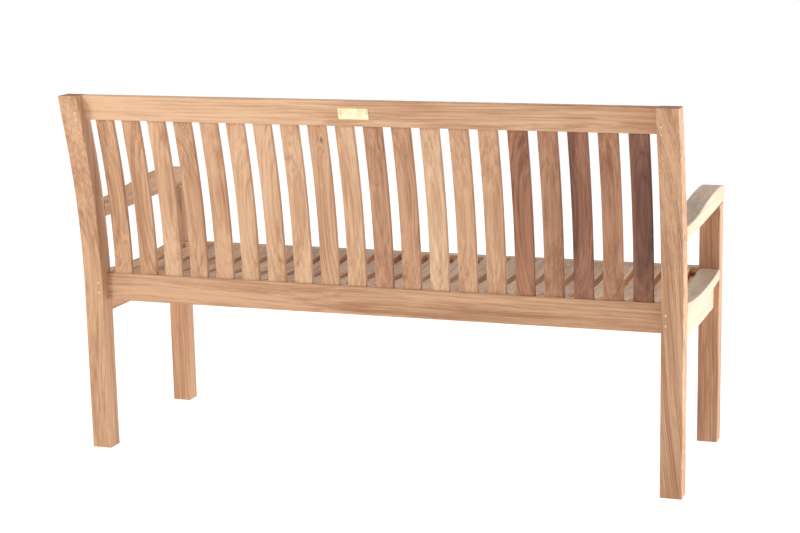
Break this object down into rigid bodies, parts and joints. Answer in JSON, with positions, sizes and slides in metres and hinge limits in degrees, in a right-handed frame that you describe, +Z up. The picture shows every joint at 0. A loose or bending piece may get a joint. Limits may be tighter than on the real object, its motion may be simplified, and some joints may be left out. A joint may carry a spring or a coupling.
{
  "type": "garden bench",
  "caption": "Slatted hardwood garden bench with two arms, a curved slatted back, a scooped seat and four square legs, joined with tenons and pegs.",
  "frame": {"origin": "on the ground, midway between the ends and midway from the arm noses to the rear edge of the back", "axes": "+Z up, +X along the bench to the sitter's left, the sitter faces -Y"},
  "size_m": [1.5, 0.605, 0.898],
  "materials": {
    "leg_teak": "oiled teak, fine sanded",
    "arm_teak": "oiled teak, fine sanded",
    "rail_teak": "oiled teak, fine sanded",
    "back_slat_teak": "oiled teak, fine sanded",
    "seat_teak": "oiled teak, fine sanded",
    "peg_wood": "pale hardwood end grain",
    "plate_brass": "satin, blank"
  },
  "bodies": {
    "root": {"left_rear_leg": "leg_teak", "left_front_leg": "leg_teak", "left_side_seat_rail": "rail_teak", "left_side_seat_slat": "seat_teak", "left_armrest": "arm_teak", "right_rear_leg": "leg_teak", "right_front_leg": "leg_teak", "right_side_seat_rail": "rail_teak", "right_side_seat_slat": "seat_teak", "right_armrest": "arm_teak", "top_back_rail": "rail_teak", "lower_back_rail": "rail_teak", "front_seat_rail": "rail_teak", "back_slat_01": "back_slat_teak", "back_slat_02": "back_slat_teak", "back_slat_03": "back_slat_teak", "back_slat_04": "back_slat_teak", "back_slat_05": "back_slat_teak", "back_slat_06": "back_slat_teak", "back_slat_07": "back_slat_teak", "back_slat_08": "back_slat_teak", "back_slat_09": "back_slat_teak", "back_slat_10": "back_slat_teak", "back_slat_11": "back_slat_teak", "back_slat_12": "back_slat_teak", "back_slat_13": "back_slat_teak", "back_slat_14": "back_slat_teak", "back_slat_15": "back_slat_teak", "back_slat_16": "back_slat_teak", "back_slat_17": "back_slat_teak", "back_slat_18": "back_slat_teak", "back_slat_19": "back_slat_teak", "back_slat_20": "back_slat_teak", "seat_slat_01": "seat_teak", "seat_slat_02": "seat_teak", "seat_slat_03": "seat_teak", "seat_slat_04": "seat_teak", "seat_slat_05": "seat_teak", "seat_slat_06": "seat_teak", "seat_slat_07": "seat_teak", "seat_slat_08": "seat_teak", "seat_slat_09": "seat_teak", "seat_slat_10": "seat_teak", "seat_slat_11": "seat_teak", "seat_slat_12": "seat_teak", "seat_slat_13": "seat_teak", "seat_slat_14": "seat_teak", "seat_slat_15": "seat_teak", "seat_slat_16": "seat_teak", "seat_slat_17": "seat_teak", "seat_slat_18": "seat_teak", "seat_slat_19": "seat_teak", "seat_slat_20": "seat_teak", "left_joint_pegs": "peg_wood", "right_joint_pegs": "peg_wood", "name_plate": "plate_brass", "plate_pins": "plate_brass"}
  },
  "joints": []
}
